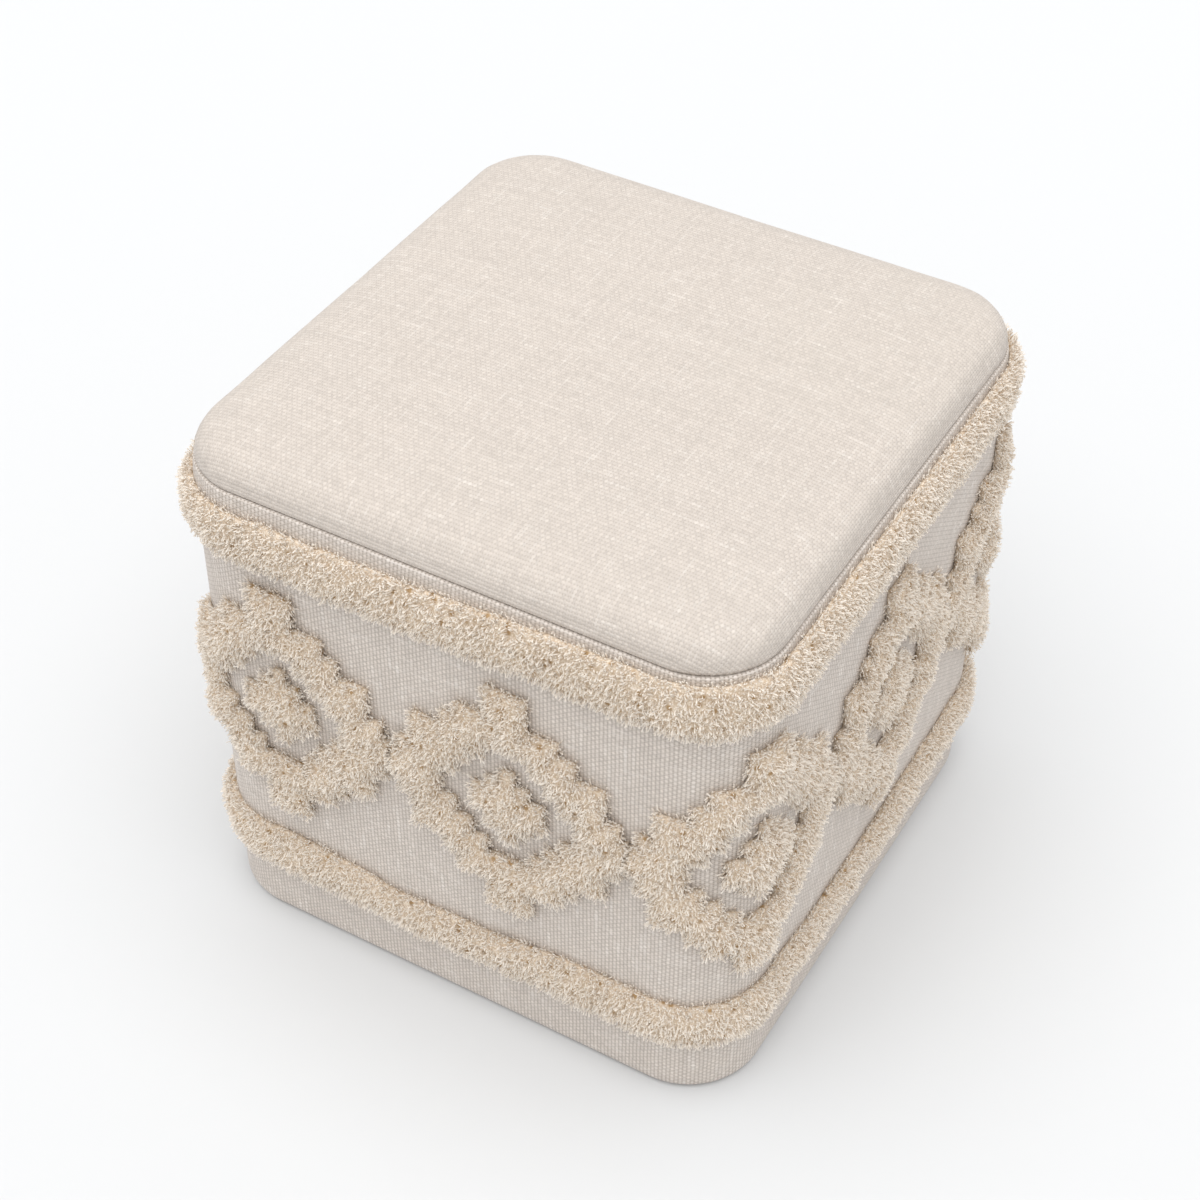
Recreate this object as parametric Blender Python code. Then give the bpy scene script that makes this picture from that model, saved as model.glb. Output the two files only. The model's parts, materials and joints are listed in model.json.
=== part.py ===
"""Cube pouf: a filled cube in woven cotton with a padded seat, its sides worked in cut pile.

Metres, +Z up. The origin is the middle of the flat base, which lies on the floor. The front is the
side that faces -Y. A place on the side cloth is given as `along`, the distance round the cloth from
the middle of the front towards +X, and `height`, the distance above the floor.
"""
import math
from collections import Counter

import bmesh
import bpy
from mathutils import Vector, noise

MM = 0.001

# The filled body.
WIDTH = 400 * MM
DEPTH = 406 * MM
BODY_HEIGHT = 372 * MM
CORNER_RADIUS = 53 * MM
BASE_EDGE_RADIUS = 8 * MM
RIM_EDGE_RADIUS = 2.5 * MM
SIDE_BOW = 1.5 * MM            # the sides swell by this much at their middle

# The seat cushion that lies on it.
SEAT_GAP = 0.3 * MM
TOTAL_HEIGHT = 400 * MM
SEAT_CROWN = 4 * MM            # the middle of the seat stands this much above its edge
SEAT_INSET = 1.3 * MM
SEAT_DRAWN_IN = 1.0 * MM       # each side of the seat pulls in by this much between its corners
SEAT_TOP_RADIUS = 20 * MM
SEAT_SEAM_RADIUS = 2.5 * MM
CROWN_RINGS = (0.93, 0.80, 0.62, 0.42, 0.20)   # sizes of the crown's rings, as shares of its edge

# The cut pile.
PILE_GAP = 0.6 * MM            # between the side cloth and the pile's back
RIM_SHARE = 0.55               # pile at a piece's edge stands up this share of its full length
LUMP_SIZE = 17 * MM
LUMP_SHARE = 0.24              # lumps raise or lower the pile by up to this share
EDGE_WANDER = 1.1 * MM         # how far a pile piece's edge strays from its drawn line
LOCK_LENGTH = 6.5 * MM
LOCK_SPREAD = 3 * MM           # how far a lock's tip leans away from the cloth
LOCK_TIP = 0.3                 # a lock's tip, as a share of its root

# Points round the body and round a pile band.
BODY_STEPS_FLAT, BODY_STEPS_ARC = 4, 7
BAND_STEPS = 124
BAND_ROWS = 3
BAND_LOCK_EVERY = 2

FLAT_X = WIDTH - 2 * CORNER_RADIUS
FLAT_Y = DEPTH - 2 * CORNER_RADIUS
ARC = CORNER_RADIUS * math.pi / 2
GIRTH = 2 * (FLAT_X + FLAT_Y) + 4 * ARC

# Height of each pile band's lower and upper edge round the body, which was tufted by hand and
# strays up and down: (along, lower edge, upper edge), all in mm.
UPPER_BAND_EDGES = (
    (-140, 326, 362),
    (-30, 326, 363),
    (75, 329, 368),
    (190, 330, 369),
    (380, 330, 368),
    (570, 329, 368),
    (760, 329, 367),
    (950, 328, 366),
    (1140, 327, 364),
    (1290, 326, 362),
)
UPPER_BAND_PILE = 9 * MM
LOWER_BAND_EDGES = (
    (-150, 52, 90),
    (-90, 51, 87),
    (-30, 50, 81),
    (20, 51, 83),
    (90, 52, 90),
    (220, 52, 89),
    (300, 51, 82),
    (430, 52, 83),
    (570, 52, 86),
    (760, 51, 83),
    (950, 52, 87),
    (1140, 51, 84),
    (1270, 52, 88),
)
LOWER_BAND_PILE = 10 * MM

# Centres of the nine diamonds, along the side cloth in mm.
DIAMOND_CENTRES = (-121, 48, 215, 382, 552, 721, 891, 1061, 1230)
DIAMOND_HEIGHT = 213 * MM      # of the centres, above the floor
DIAMOND_STEP = 12 * MM         # height of one row of cells
DIAMOND_PILE = 12 * MM
DIAMOND_COLUMNS = 8            # cells from the middle one to the point beside it
# A quarter of a diamond, row by row from its middle upwards: the first and the last cell with
# pile, counted from the middle column. The tufted blocks make uneven stairs.
DIAMOND_STAIRS = (
    (5, 8),
    (4, 7),
    (3, 6),
    (2, 6),
    (0, 4),
    (0, 3),
    (0, 1),
    (0, 1),
)
JOIN_ROWS = 1                  # rows up and down in which a diamond meets the next
JOIN_GAP = 0.3 * MM            # between one diamond and the next in the chain

HEART_CELL = 10.4 * MM
HEART_STEP = 10.5 * MM
HEART_PILE = 11 * MM
HEART_STAIRS = (
    (0, 2),
    (0, 1),
    (0, 0),
)

# Name, colour and roughness of each finish.
SEAT_CLOTH = ("Seat slub cotton", (0.83, 0.77, 0.70), 0.95)
SIDE_CLOTH = ("Side slub cotton", (0.70, 0.64, 0.58), 0.95)
PILE_YARN = ("Cut cotton yarn", (0.72, 0.62, 0.50), 1.0)


def clear_scene():
    for thing in list(bpy.data.objects):
        bpy.data.objects.remove(thing, do_unlink=True)


def finish_material(finish):
    name, colour, roughness = finish
    material = bpy.data.materials.get(name) or bpy.data.materials.new(name)
    material.use_nodes = True
    shader = material.node_tree.nodes["Principled BSDF"]
    shader.inputs["Base Color"].default_value = (*colour, 1.0)
    shader.inputs["Roughness"].default_value = roughness
    shader.inputs["Metallic"].default_value = 0.0
    return material


def place_object(name, mesh_being_made, finish, sharp_degrees):
    mesh = bpy.data.meshes.new(name)
    mesh_being_made.to_mesh(mesh)
    mesh_being_made.free()
    mesh.shade_smooth()
    mesh.set_sharp_from_angle(angle=math.radians(sharp_degrees))
    mesh.materials.append(finish_material(finish))
    thing = bpy.data.objects.new(name, mesh)
    bpy.context.scene.collection.objects.link(thing)
    return thing


def outline(along):
    """Point on the body's outline seen from above, the way out from it, and how much the side
    bows there, from 0 at a corner to 1 in the middle of a side."""
    left = (along + FLAT_X / 2) % GIRTH
    for quarter, flat in enumerate((FLAT_X, FLAT_Y, FLAT_X, FLAT_Y)):
        facing = math.radians(90 * quarter - 90)
        out = Vector((math.cos(facing), math.sin(facing)))
        forward = Vector((-out.y, out.x))
        reach = (DEPTH if quarter % 2 == 0 else WIDTH) / 2
        if left < flat:
            across = left - flat / 2
            return out * reach + forward * across, out, math.cos(math.pi * across / flat) ** 2
        left -= flat
        if left < ARC:
            centre = out * (reach - CORNER_RADIUS) + forward * (flat / 2)
            turn = facing + left / CORNER_RADIUS
            out = Vector((math.cos(turn), math.sin(turn)))
            return centre + out * CORNER_RADIUS, out, 0.0
        left -= ARC
    return outline(0.0)


def edge_rounding(height):
    """How far the side cloth has turned in over the base edge or the rim."""
    for radius, into_edge in (
        (BASE_EDGE_RADIUS, BASE_EDGE_RADIUS - height),
        (RIM_EDGE_RADIUS, height - (BODY_HEIGHT - RIM_EDGE_RADIUS)),
    ):
        if into_edge > 0:
            return radius - math.sqrt(max(radius ** 2 - into_edge ** 2, 0.0))
    return 0.0


def side_point(along, height, out_by=0.0):
    """A point that stands `out_by` off the side cloth."""
    point, out, bow = outline(along)
    swell = SIDE_BOW * bow * 4 * height * (BODY_HEIGHT - height) / BODY_HEIGHT ** 2
    flat_point = point + out * (swell + out_by - edge_rounding(height))
    return Vector((flat_point.x, flat_point.y, height))


def steps_round():
    """Distances along the cloth at which the body and the seat have a point."""
    places = []
    start = -FLAT_X / 2
    for flat in (FLAT_X, FLAT_Y, FLAT_X, FLAT_Y):
        places += [start + flat * step / BODY_STEPS_FLAT for step in range(BODY_STEPS_FLAT)]
        start += flat
        places += [start + ARC * step / BODY_STEPS_ARC for step in range(BODY_STEPS_ARC)]
        start += ARC
    return places


def skin_over_rings(name, rings, finish, sharp_degrees):
    """A closed skin through rings of points, bottom to top, flat across its two ends."""
    skin = bmesh.new()
    loops = [[skin.verts.new(point) for point in ring] for ring in rings]
    for lower, upper in zip(loops, loops[1:]):
        for here in range(len(lower)):
            after = (here + 1) % len(lower)
            skin.faces.new((lower[here], lower[after], upper[after], upper[here]))
    skin.faces.new(list(reversed(loops[0])))
    skin.faces.new(loops[-1])
    return place_object(name, skin, finish, sharp_degrees)


def body():
    heights = [BASE_EDGE_RADIUS * (1 - math.cos(math.radians(turn))) for turn in (0, 30, 60, 90)]
    straight_from, straight_to = BASE_EDGE_RADIUS, BODY_HEIGHT - RIM_EDGE_RADIUS
    side_rows = 6
    heights += [
        straight_from + (straight_to - straight_from) * row / side_rows
        for row in range(1, side_rows + 1)
    ]
    heights += [straight_to + RIM_EDGE_RADIUS * math.sin(math.radians(turn)) for turn in (45, 90)]
    rings = [[side_point(along, height) for along in steps_round()] for height in heights]
    return skin_over_rings("body", rings, SIDE_CLOTH, 50)


def seat_point(along, inset, height):
    point, out, bow = outline(along)
    pulled_in = SEAT_INSET + SEAT_DRAWN_IN * bow + inset
    flat_point = point - out * pulled_in
    return Vector((flat_point.x, flat_point.y, height))


def seat_cushion():
    """A low pad: a small turn at the seam, a short side, a wide soft edge, then the crown."""
    bottom = BODY_HEIGHT + SEAT_GAP
    edge_top = TOTAL_HEIGHT - SEAT_CROWN
    profile = []
    for turn in (0, 45, 90):
        angle = math.radians(turn)
        profile.append((SEAT_SEAM_RADIUS * (1 - math.sin(angle)),
                        bottom + SEAT_SEAM_RADIUS * (1 - math.cos(angle))))
    side_top = edge_top - SEAT_TOP_RADIUS
    for turn in (0, 22.5, 45, 67.5, 90):
        angle = math.radians(turn)
        profile.append((SEAT_TOP_RADIUS * (1 - math.cos(angle)),
                        side_top + SEAT_TOP_RADIUS * math.sin(angle)))
    rings = [[seat_point(along, inset, height) for along in steps_round()]
             for inset, height in profile]
    edge_ring = rings[-1]
    for share in CROWN_RINGS:
        height = edge_top + SEAT_CROWN * (1 - share ** 2)
        rings.append([Vector((point.x * share, point.y * share, height)) for point in edge_ring])
    return skin_over_rings("seat_cushion", rings, SEAT_CLOTH, 60)


def lumpiness(point, size):
    """Smooth uneven value from -1 to 1, the same each time for the same place."""
    return max(-1.0, min(1.0, 2 * noise.noise(point / size)))


def pile_piece(name, crossing, cells, columns_round, pile, has_lock):
    """One slab of standing pile.

    `crossing` gives the place of a grid crossing (column, row) as along and height, and whether
    the slab may stray there. `cells` are the grid cells that hold pile. `columns_round` is the
    number of columns in a band that runs all round, or 0. `has_lock` says whether a lock hangs
    from the lower edge of a cell.
    """
    def wrapped(column, row):
        return (column % columns_round if columns_round else column, row)

    edges = []
    for column, row in cells:
        corners = [wrapped(column, row), wrapped(column + 1, row),
                   wrapped(column + 1, row + 1), wrapped(column, row + 1)]
        edges.append(list(zip(corners, corners[1:] + corners[:1])))
    in_use = Counter(edge for cell_edges in edges for edge in cell_edges)
    open_edges = [[edge for edge in cell_edges if edge[::-1] not in in_use]
                  for cell_edges in edges]
    rim = {corner for cell_edges in open_edges for edge in cell_edges for corner in edge
           if crossing(*corner)[2]}

    slab = bmesh.new()
    front, back = {}, {}
    for corner in sorted({corner for cell_edges in edges for edge in cell_edges for corner in edge}):
        along, height, _ = crossing(*corner)
        place = side_point(along, height)
        stand = pile * (1 + LUMP_SHARE * lumpiness(place, LUMP_SIZE))
        if corner in rim:
            stand *= RIM_SHARE
            along += EDGE_WANDER * lumpiness(place + Vector((1, 0, 0)), LUMP_SIZE / 2)
            height += EDGE_WANDER * lumpiness(place + Vector((0, 1, 0)), LUMP_SIZE / 2)
        back[corner] = slab.verts.new(side_point(along, height, PILE_GAP))
        front[corner] = slab.verts.new(side_point(along, height, PILE_GAP + stand))

    lock_roots = []
    for cell, cell_edges, cell_open in zip(cells, edges, open_edges):
        corners = [edge[0] for edge in cell_edges]
        slab.faces.new([front[corner] for corner in corners])
        slab.faces.new([back[corner] for corner in reversed(corners)])
        for start, end in cell_open:
            wall = slab.faces.new((front[end], front[start], back[start], back[end]))
            if (start, end) == cell_edges[0] and has_lock(*cell):
                lock_roots.append(wall)

    locks = bmesh.ops.extrude_discrete_faces(slab, faces=lock_roots)["faces"] if lock_roots else []
    for lock in locks:
        middle = lock.calc_center_median()
        away = Vector((middle.x, middle.y, 0)).normalized()
        longer = 1 + 0.3 * lumpiness(middle + Vector((0, 0, 1)), LUMP_SIZE)
        tip = middle + Vector((0, 0, -LOCK_LENGTH * longer)) + away * LOCK_SPREAD
        for corner in lock.verts:
            corner.co = tip + (corner.co - middle) * LOCK_TIP
    return place_object(name, slab, PILE_YARN, 40)


def edge_heights(table, along):
    """A band's lower and upper edge at a place, eased between the rows of its table."""
    at_mm = along / MM
    girth_mm = GIRTH / MM
    first = table[0][0]
    at_mm = first + (at_mm - first) % girth_mm
    rows = list(table) + [(first + girth_mm, *table[0][1:])]
    for (start, *from_edges), (end, *to_edges) in zip(rows, rows[1:]):
        if at_mm <= end:
            share = (1 - math.cos(math.pi * (at_mm - start) / (end - start))) / 2
            return [(a + (b - a) * share) * MM for a, b in zip(from_edges, to_edges)]
    return [edge * MM for edge in table[0][1:]]


def band(name, table, pile):
    def crossing(column, row):
        along = GIRTH * column / BAND_STEPS
        lower, upper = edge_heights(table, along)
        return along, lower + (upper - lower) * row / BAND_ROWS, True

    cells = [(column, row) for column in range(BAND_STEPS) for row in range(BAND_ROWS)]
    return pile_piece(name, crossing, cells, BAND_STEPS, pile,
                      lambda column, row: column % BAND_LOCK_EVERY == 0)


def stair_cells(stairs):
    """Grid cells of a stepped figure, from a quarter of it mirrored both ways."""
    cells = set()
    for row, (first, last) in enumerate(stairs):
        for column in range(first, last + 1):
            for left_or_right in (column, -column):
                cells |= {(left_or_right, row), (left_or_right, -row - 1)}
    return sorted(cells)


def diamond(number, to_left, to_right):
    """A ring of pile; `to_left` and `to_right` are its half widths."""
    centre = DIAMOND_CENTRES[number] * MM

    def crossing(column, row):
        half_width = to_right if column > 0 else to_left
        share = max(-1.0, min(1.0, (column - 0.5) / DIAMOND_COLUMNS))
        may_stray = abs(share) < 1 or abs(row) == JOIN_ROWS
        return centre + half_width * share, DIAMOND_HEIGHT + DIAMOND_STEP * row, may_stray

    return pile_piece(f"diamond_{number + 1}", crossing, stair_cells(DIAMOND_STAIRS), 0,
                      DIAMOND_PILE, lambda column, row: row < 0)


def heart(number):
    """The small filled diamond in the middle of a ring."""
    centre = DIAMOND_CENTRES[number] * MM

    def crossing(column, row):
        return centre + HEART_CELL * (column - 0.5), DIAMOND_HEIGHT + HEART_STEP * row, True

    return pile_piece(f"heart_{number + 1}", crossing, stair_cells(HEART_STAIRS), 0,
                      HEART_PILE, lambda column, row: False)


def diamonds():
    count = len(DIAMOND_CENTRES)
    for number, centre in enumerate(DIAMOND_CENTRES):
        after = DIAMOND_CENTRES[(number + 1) % count]
        before = DIAMOND_CENTRES[number - 1]
        to_right = (after * MM - centre * MM) % GIRTH / 2 - JOIN_GAP / 2
        to_left = (centre * MM - before * MM) % GIRTH / 2 - JOIN_GAP / 2
        diamond(number, to_left, to_right)
        heart(number)


def main():
    clear_scene()
    body()
    seat_cushion()
    band("upper_band", UPPER_BAND_EDGES, UPPER_BAND_PILE)
    band("lower_band", LOWER_BAND_EDGES, LOWER_BAND_PILE)
    diamonds()


main()
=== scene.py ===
"""Looks of the cube pouf: slub cotton on the body and the seat, cut cotton pile on its sides."""
import json
import math

import bmesh
import bpy
import numpy as np
from mathutils import Matrix, Vector

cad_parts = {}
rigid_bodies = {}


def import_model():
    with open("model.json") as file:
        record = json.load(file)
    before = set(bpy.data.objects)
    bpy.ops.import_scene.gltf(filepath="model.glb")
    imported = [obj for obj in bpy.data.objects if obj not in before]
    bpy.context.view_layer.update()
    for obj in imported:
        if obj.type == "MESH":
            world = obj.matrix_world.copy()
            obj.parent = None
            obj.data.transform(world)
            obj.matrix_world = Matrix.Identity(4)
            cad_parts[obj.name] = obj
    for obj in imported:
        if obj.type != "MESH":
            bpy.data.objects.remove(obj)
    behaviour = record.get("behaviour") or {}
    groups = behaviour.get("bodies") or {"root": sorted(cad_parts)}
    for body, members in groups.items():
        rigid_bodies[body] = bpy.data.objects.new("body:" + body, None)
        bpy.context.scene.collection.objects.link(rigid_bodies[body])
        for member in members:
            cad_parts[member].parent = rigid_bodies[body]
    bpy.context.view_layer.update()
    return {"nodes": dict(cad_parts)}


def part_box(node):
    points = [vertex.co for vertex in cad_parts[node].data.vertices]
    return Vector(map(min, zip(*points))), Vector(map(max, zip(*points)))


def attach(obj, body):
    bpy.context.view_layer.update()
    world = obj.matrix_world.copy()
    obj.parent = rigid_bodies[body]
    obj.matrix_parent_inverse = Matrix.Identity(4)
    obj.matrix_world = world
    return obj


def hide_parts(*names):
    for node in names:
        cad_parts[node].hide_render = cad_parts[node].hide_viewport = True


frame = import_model()

MM = 0.001
SAME_POINT = 0.01 * MM         # corners of the solid closer than this are one
NOISE_MIDDLE = (0.5, 0.5, 0.5)

# ---------------------------------------------------------------------------------------------
# Sizes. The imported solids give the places, and these are the sizes that a box can't tell.
# ---------------------------------------------------------------------------------------------
_, BODY_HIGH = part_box("body")
SEAT_LOW, SEAT_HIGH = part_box("seat_cushion")
SIDE_BOW = 1.5 * MM
HALF_X = BODY_HIGH.x - SIDE_BOW
HALF_Y = BODY_HIGH.y - SIDE_BOW
CORNER_RADIUS = 53 * MM
BASE_EDGE_RADIUS = 8 * MM
RIM_EDGE_RADIUS = 2.5 * MM
FLAT_X = 2 * (HALF_X - CORNER_RADIUS)
FLAT_Y = 2 * (HALF_Y - CORNER_RADIUS)
ARC = CORNER_RADIUS * math.pi / 2
GIRTH = 2 * (FLAT_X + FLAT_Y) + 4 * ARC

SEAT_CROWN = 4 * MM
SEAT_TOP_RADIUS = 20 * MM
SEAT_CORNER_RADIUS = 51.7 * MM
SEAT_SEAM_RADIUS = 2.5 * MM
SEAT_DRAWN_IN = 1.0 * MM       # by the stitches of the seam
SEAT_FOOT = 7 * MM             # over this height its sides go back to the seam
SEAT_BASE_EDGE = 0.3 * MM      # points lower than this are on its underside

# The cloth, counted on its threads.
WARP_PITCH = 2.66 * MM
WEFT_PITCH = 1.83 * MM
SLUB_LENGTH = 26 * MM          # of a thick stretch of yarn
WANDER = 1.3 * MM              # how far a thread strays to the side
WANDERS_PER_METRE = 55.0
FUZZ_PER_METRE = 2200.0        # loose fibres, drawn coarse enough to show


# ---------------------------------------------------------------------------------------------
# The side cloth as a surface: `along` is the distance round it from the middle of the front
# towards +X, `off` the distance out from it.
# ---------------------------------------------------------------------------------------------
def unroll(points):
    """Along, off and outward direction of each point, given as an array of x, y, z."""
    x, y = points[:, 0], points[:, 1]
    core_x, core_y = FLAT_X / 2, FLAT_Y / 2
    from_core = np.stack([x - np.clip(x, -core_x, core_x), y - np.clip(y, -core_y, core_y)], 1)
    reach = np.linalg.norm(from_core, axis=1)
    out = from_core / np.maximum(reach, 1e-9)[:, None]
    off = reach - CORNER_RADIUS
    turn = (np.arctan2(out[:, 1], out[:, 0]) + np.pi / 2) % (2 * np.pi)
    quarter = np.minimum((turn / (np.pi / 2) + 1e-6).astype(int), 3)
    starts = np.array([0, FLAT_X / 2 + ARC + FLAT_Y / 2, FLAT_X + 2 * ARC + FLAT_Y,
                       1.5 * FLAT_X + 3 * ARC + 1.5 * FLAT_Y])
    half_run = np.array([FLAT_X, FLAT_Y, FLAT_X, FLAT_Y])[quarter] / 2
    into = turn - quarter * np.pi / 2
    on_flat = into < 2e-6
    across = np.choose(quarter, [x, y, -x, -y])
    along = starts[quarter] + np.where(on_flat, across, half_run + CORNER_RADIUS * into)
    return along, off, np.column_stack([out, np.zeros(len(out))])


def bow_at(along, height):
    """How far the side swells out there."""
    left = (along + FLAT_X / 2) % GIRTH
    share = np.zeros_like(left)
    start = 0.0
    for flat in (FLAT_X, FLAT_Y, FLAT_X, FLAT_Y):
        here = (left >= start) & (left < start + flat)
        across = left - start - flat / 2
        share = np.where(here, np.cos(np.pi * across / flat) ** 2, share)
        start += flat + ARC
    top = BODY_HIGH.z
    return SIDE_BOW * share * np.clip(4 * height * (top - height) / top ** 2, 0, None)


def outline_points(along):
    """Points on the body's outline seen from above, and the way out from it."""
    left = (along + FLAT_X / 2) % GIRTH
    point = np.zeros((len(along), 2))
    out = np.zeros((len(along), 2))
    start = 0.0
    for quarter, flat in enumerate((FLAT_X, FLAT_Y, FLAT_X, FLAT_Y)):
        facing = math.pi / 2 * (quarter - 1)
        ahead = np.array([math.cos(facing), math.sin(facing)])
        forward = np.array([-ahead[1], ahead[0]])
        reach = HALF_Y if quarter % 2 == 0 else HALF_X
        here = (left >= start) & (left <= start + flat)
        across = left[here] - start - flat / 2
        point[here] = ahead * reach + forward * across[:, None]
        out[here] = ahead
        start += flat
        here = (left > start) & (left < start + ARC)
        turn = facing + (left[here] - start) / CORNER_RADIUS
        outward = np.column_stack([np.cos(turn), np.sin(turn)])
        centre = ahead * (reach - CORNER_RADIUS) + forward * flat / 2
        point[here] = centre + outward * CORNER_RADIUS
        out[here] = outward
        start += ARC
    return point, out


# ---------------------------------------------------------------------------------------------
# Materials.
# ---------------------------------------------------------------------------------------------
def linear(hex_colour):
    """An sRGB hex colour as linear red, green, blue and alpha."""
    values = [int(hex_colour[place:place + 2], 16) / 255 for place in (1, 3, 5)]
    return [v / 12.92 if v <= 0.04045 else ((v + 0.055) / 1.055) ** 2.4 for v in values] + [1.0]


def add_node(tree, kind, inputs=None, **settings):
    """Adds a node with its settings; an input takes a value or another node's output."""
    node = tree.nodes.new(kind)
    for name, value in settings.items():
        setattr(node, name, value)
    for key, value in (inputs or {}).items():
        if isinstance(value, bpy.types.NodeSocket):
            tree.links.new(value, node.inputs[key])
        else:
            node.inputs[key].default_value = value
    return node


def new_material(name):
    material = bpy.data.materials.new(name)
    material.use_nodes = True
    material.node_tree.nodes.clear()
    return material


SLUB_EDGE = (0.56, 0.74)       # noise between these is where a thread begins to thicken
SLUB_STRENGTH = 0.65
LIFT_OVER, LIFT_SLUB, LIFT_ALL = 0.62, 0.25, 0.3       # parts of a thread's height
CROSSING_EDGE = 0.12           # how softly one thread ends under the next
PINHOLE_EDGE = (0.1, 0.55)     # between these heights a pinhole turns to thread
BEAD_TINT, THREAD_TINT = 0.55, 0.22                    # shares of the unevenness
TINT_SPAN, TINT_DARKEST = 0.2, 0.9
FUZZ_SHARE = 0.18
THREAD_JUMP = 7.31             # keeps the slubs of threads side by side unlike each other
CLOTH_JUMP = 19                # and those of the warp and the weft


def slub_cotton(name, warp_colour, weft_colour, slub_colour, pinhole_shade_colour, relief):
    """Slub cotton, plain woven from uneven spun yarn: pale beads where the warp comes up, duller
    ones between them where the weft does, a pinhole between four beads painted dark as the shade
    in it, and thicker pale stretches of yarn that run both ways."""
    material = new_material(name)
    tree = material.node_tree

    def maths(operation, *values):
        return add_node(tree, "ShaderNodeMath", dict(enumerate(values)),
                        operation=operation).outputs[0]

    def fit(value, low, high):
        return add_node(tree, "ShaderNodeMapRange", {"Value": value, "From Min": low,
                                                     "From Max": high}).outputs[0]

    thread_map = add_node(tree, "ShaderNodeUVMap", uv_map="thread_map").outputs["UV"]
    # The threads wander by a fraction of their width, as loosely woven ones do.
    wander = add_node(tree, "ShaderNodeTexNoise",
                      {"Vector": thread_map, "Scale": WANDERS_PER_METRE, "Detail": 5.0,
                       "Roughness": 0.78}, noise_dimensions="2D")
    wander = add_node(tree, "ShaderNodeVectorMath", {0: wander.outputs["Color"],
                                                     1: NOISE_MIDDLE}, operation="SUBTRACT")
    wander = add_node(tree, "ShaderNodeVectorMath", {0: wander.outputs[0], "Scale": WANDER},
                      operation="SCALE")
    place = add_node(tree, "ShaderNodeVectorMath", {0: thread_map, 1: wander.outputs[0]},
                     operation="ADD")
    place = add_node(tree, "ShaderNodeSeparateXYZ", {0: place.outputs[0]})
    across_warp = maths("DIVIDE", place.outputs["X"], WARP_PITCH)
    across_weft = maths("DIVIDE", place.outputs["Y"], WEFT_PITCH)

    numbers, heights, slubs, tints = [], [], [], []
    for across, lengthwise, phase, pitch in ((across_warp, across_weft, 0.0, WEFT_PITCH),
                                             (across_weft, across_warp, 1.0, WARP_PITCH)):
        number = maths("FLOOR", across)
        section = maths("SINE", maths("MULTIPLY", maths("FRACT", across), math.pi))
        # Each thread passes over one and under the next.
        turn = maths("MULTIPLY", maths("ADD", maths("ADD", lengthwise, number), phase - 0.5),
                     math.pi)
        over = maths("MULTIPLY_ADD", maths("COSINE", turn), 0.5, 0.5)
        spot = add_node(tree, "ShaderNodeCombineXYZ",
                        {"X": maths("MULTIPLY", number, THREAD_JUMP),
                         "Y": maths("MULTIPLY", lengthwise, pitch / SLUB_LENGTH),
                         "Z": phase * CLOTH_JUMP}).outputs[0]
        slub = add_node(tree, "ShaderNodeTexNoise", {"Vector": spot, "Scale": 1.0, "Detail": 2.0,
                                                     "Roughness": 0.6}).outputs["Fac"]
        slub = fit(slub, *SLUB_EDGE)
        tint = add_node(tree, "ShaderNodeCombineXYZ", {"X": number, "Y": phase}).outputs[0]
        tint = add_node(tree, "ShaderNodeTexWhiteNoise", {"Vector": tint},
                        noise_dimensions="2D").outputs["Value"]
        lift = maths("MULTIPLY_ADD", over, LIFT_OVER,
                     maths("MULTIPLY_ADD", slub, LIFT_SLUB, LIFT_ALL))
        heights.append(maths("MULTIPLY", section, lift))
        slubs.append(maths("MULTIPLY", slub, maths("MULTIPLY_ADD", over, 0.8, 0.2)))
        tints.append(tint)
        numbers.append(number)
    height = maths("MAXIMUM", *heights)
    warp_on_top = fit(maths("SUBTRACT", *heights), -CROSSING_EDGE, CROSSING_EDGE)
    slub = maths("MULTIPLY", maths("MAXIMUM", *slubs), SLUB_STRENGTH)
    crossing = add_node(tree, "ShaderNodeCombineXYZ",
                        {"X": numbers[0], "Y": numbers[1]}).outputs[0]
    crossing = add_node(tree, "ShaderNodeTexWhiteNoise", {"Vector": crossing},
                        noise_dimensions="2D").outputs["Value"]
    tint = maths("MULTIPLY_ADD", crossing, BEAD_TINT,
                 maths("MULTIPLY", maths("ADD", *tints), THREAD_TINT))

    thread = add_node(tree, "ShaderNodeMix", {"Factor": warp_on_top, "A": linear(weft_colour),
                                              "B": linear(warp_colour)}, data_type="RGBA")
    thread = add_node(tree, "ShaderNodeMix", {"Factor": slub, "A": thread.outputs["Result"],
                                              "B": linear(slub_colour)}, data_type="RGBA")
    # The pinholes between the threads are painted dark, as the shade that falls in them.
    ground = add_node(tree, "ShaderNodeMix", {"Factor": fit(height, *PINHOLE_EDGE),
                                              "A": linear(pinhole_shade_colour),
                                              "B": thread.outputs["Result"]}, data_type="RGBA")
    colour = add_node(tree, "ShaderNodeHueSaturation",
                      {"Color": ground.outputs["Result"],
                       "Value": maths("MULTIPLY_ADD", tint, TINT_SPAN, TINT_DARKEST)})
    fuzz = add_node(tree, "ShaderNodeTexNoise", {"Vector": thread_map, "Scale": FUZZ_PER_METRE,
                                                 "Detail": 1.0}, noise_dimensions="2D")
    surface = maths("MULTIPLY_ADD", fuzz.outputs["Fac"], FUZZ_SHARE, height)
    bump = add_node(tree, "ShaderNodeBump", {"Height": surface, "Strength": 1.0,
                                             "Distance": relief})
    shader = add_node(tree, "ShaderNodeBsdfPrincipled",
                      {"Base Color": colour.outputs[0], "Roughness": 0.92,
                       "Normal": bump.outputs[0], "Specular IOR Level": 0.25,
                       "Sheen Weight": 0.15, "Sheen Roughness": 0.45})
    add_node(tree, "ShaderNodeOutputMaterial", {"Surface": shader.outputs[0]})
    return material


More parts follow.
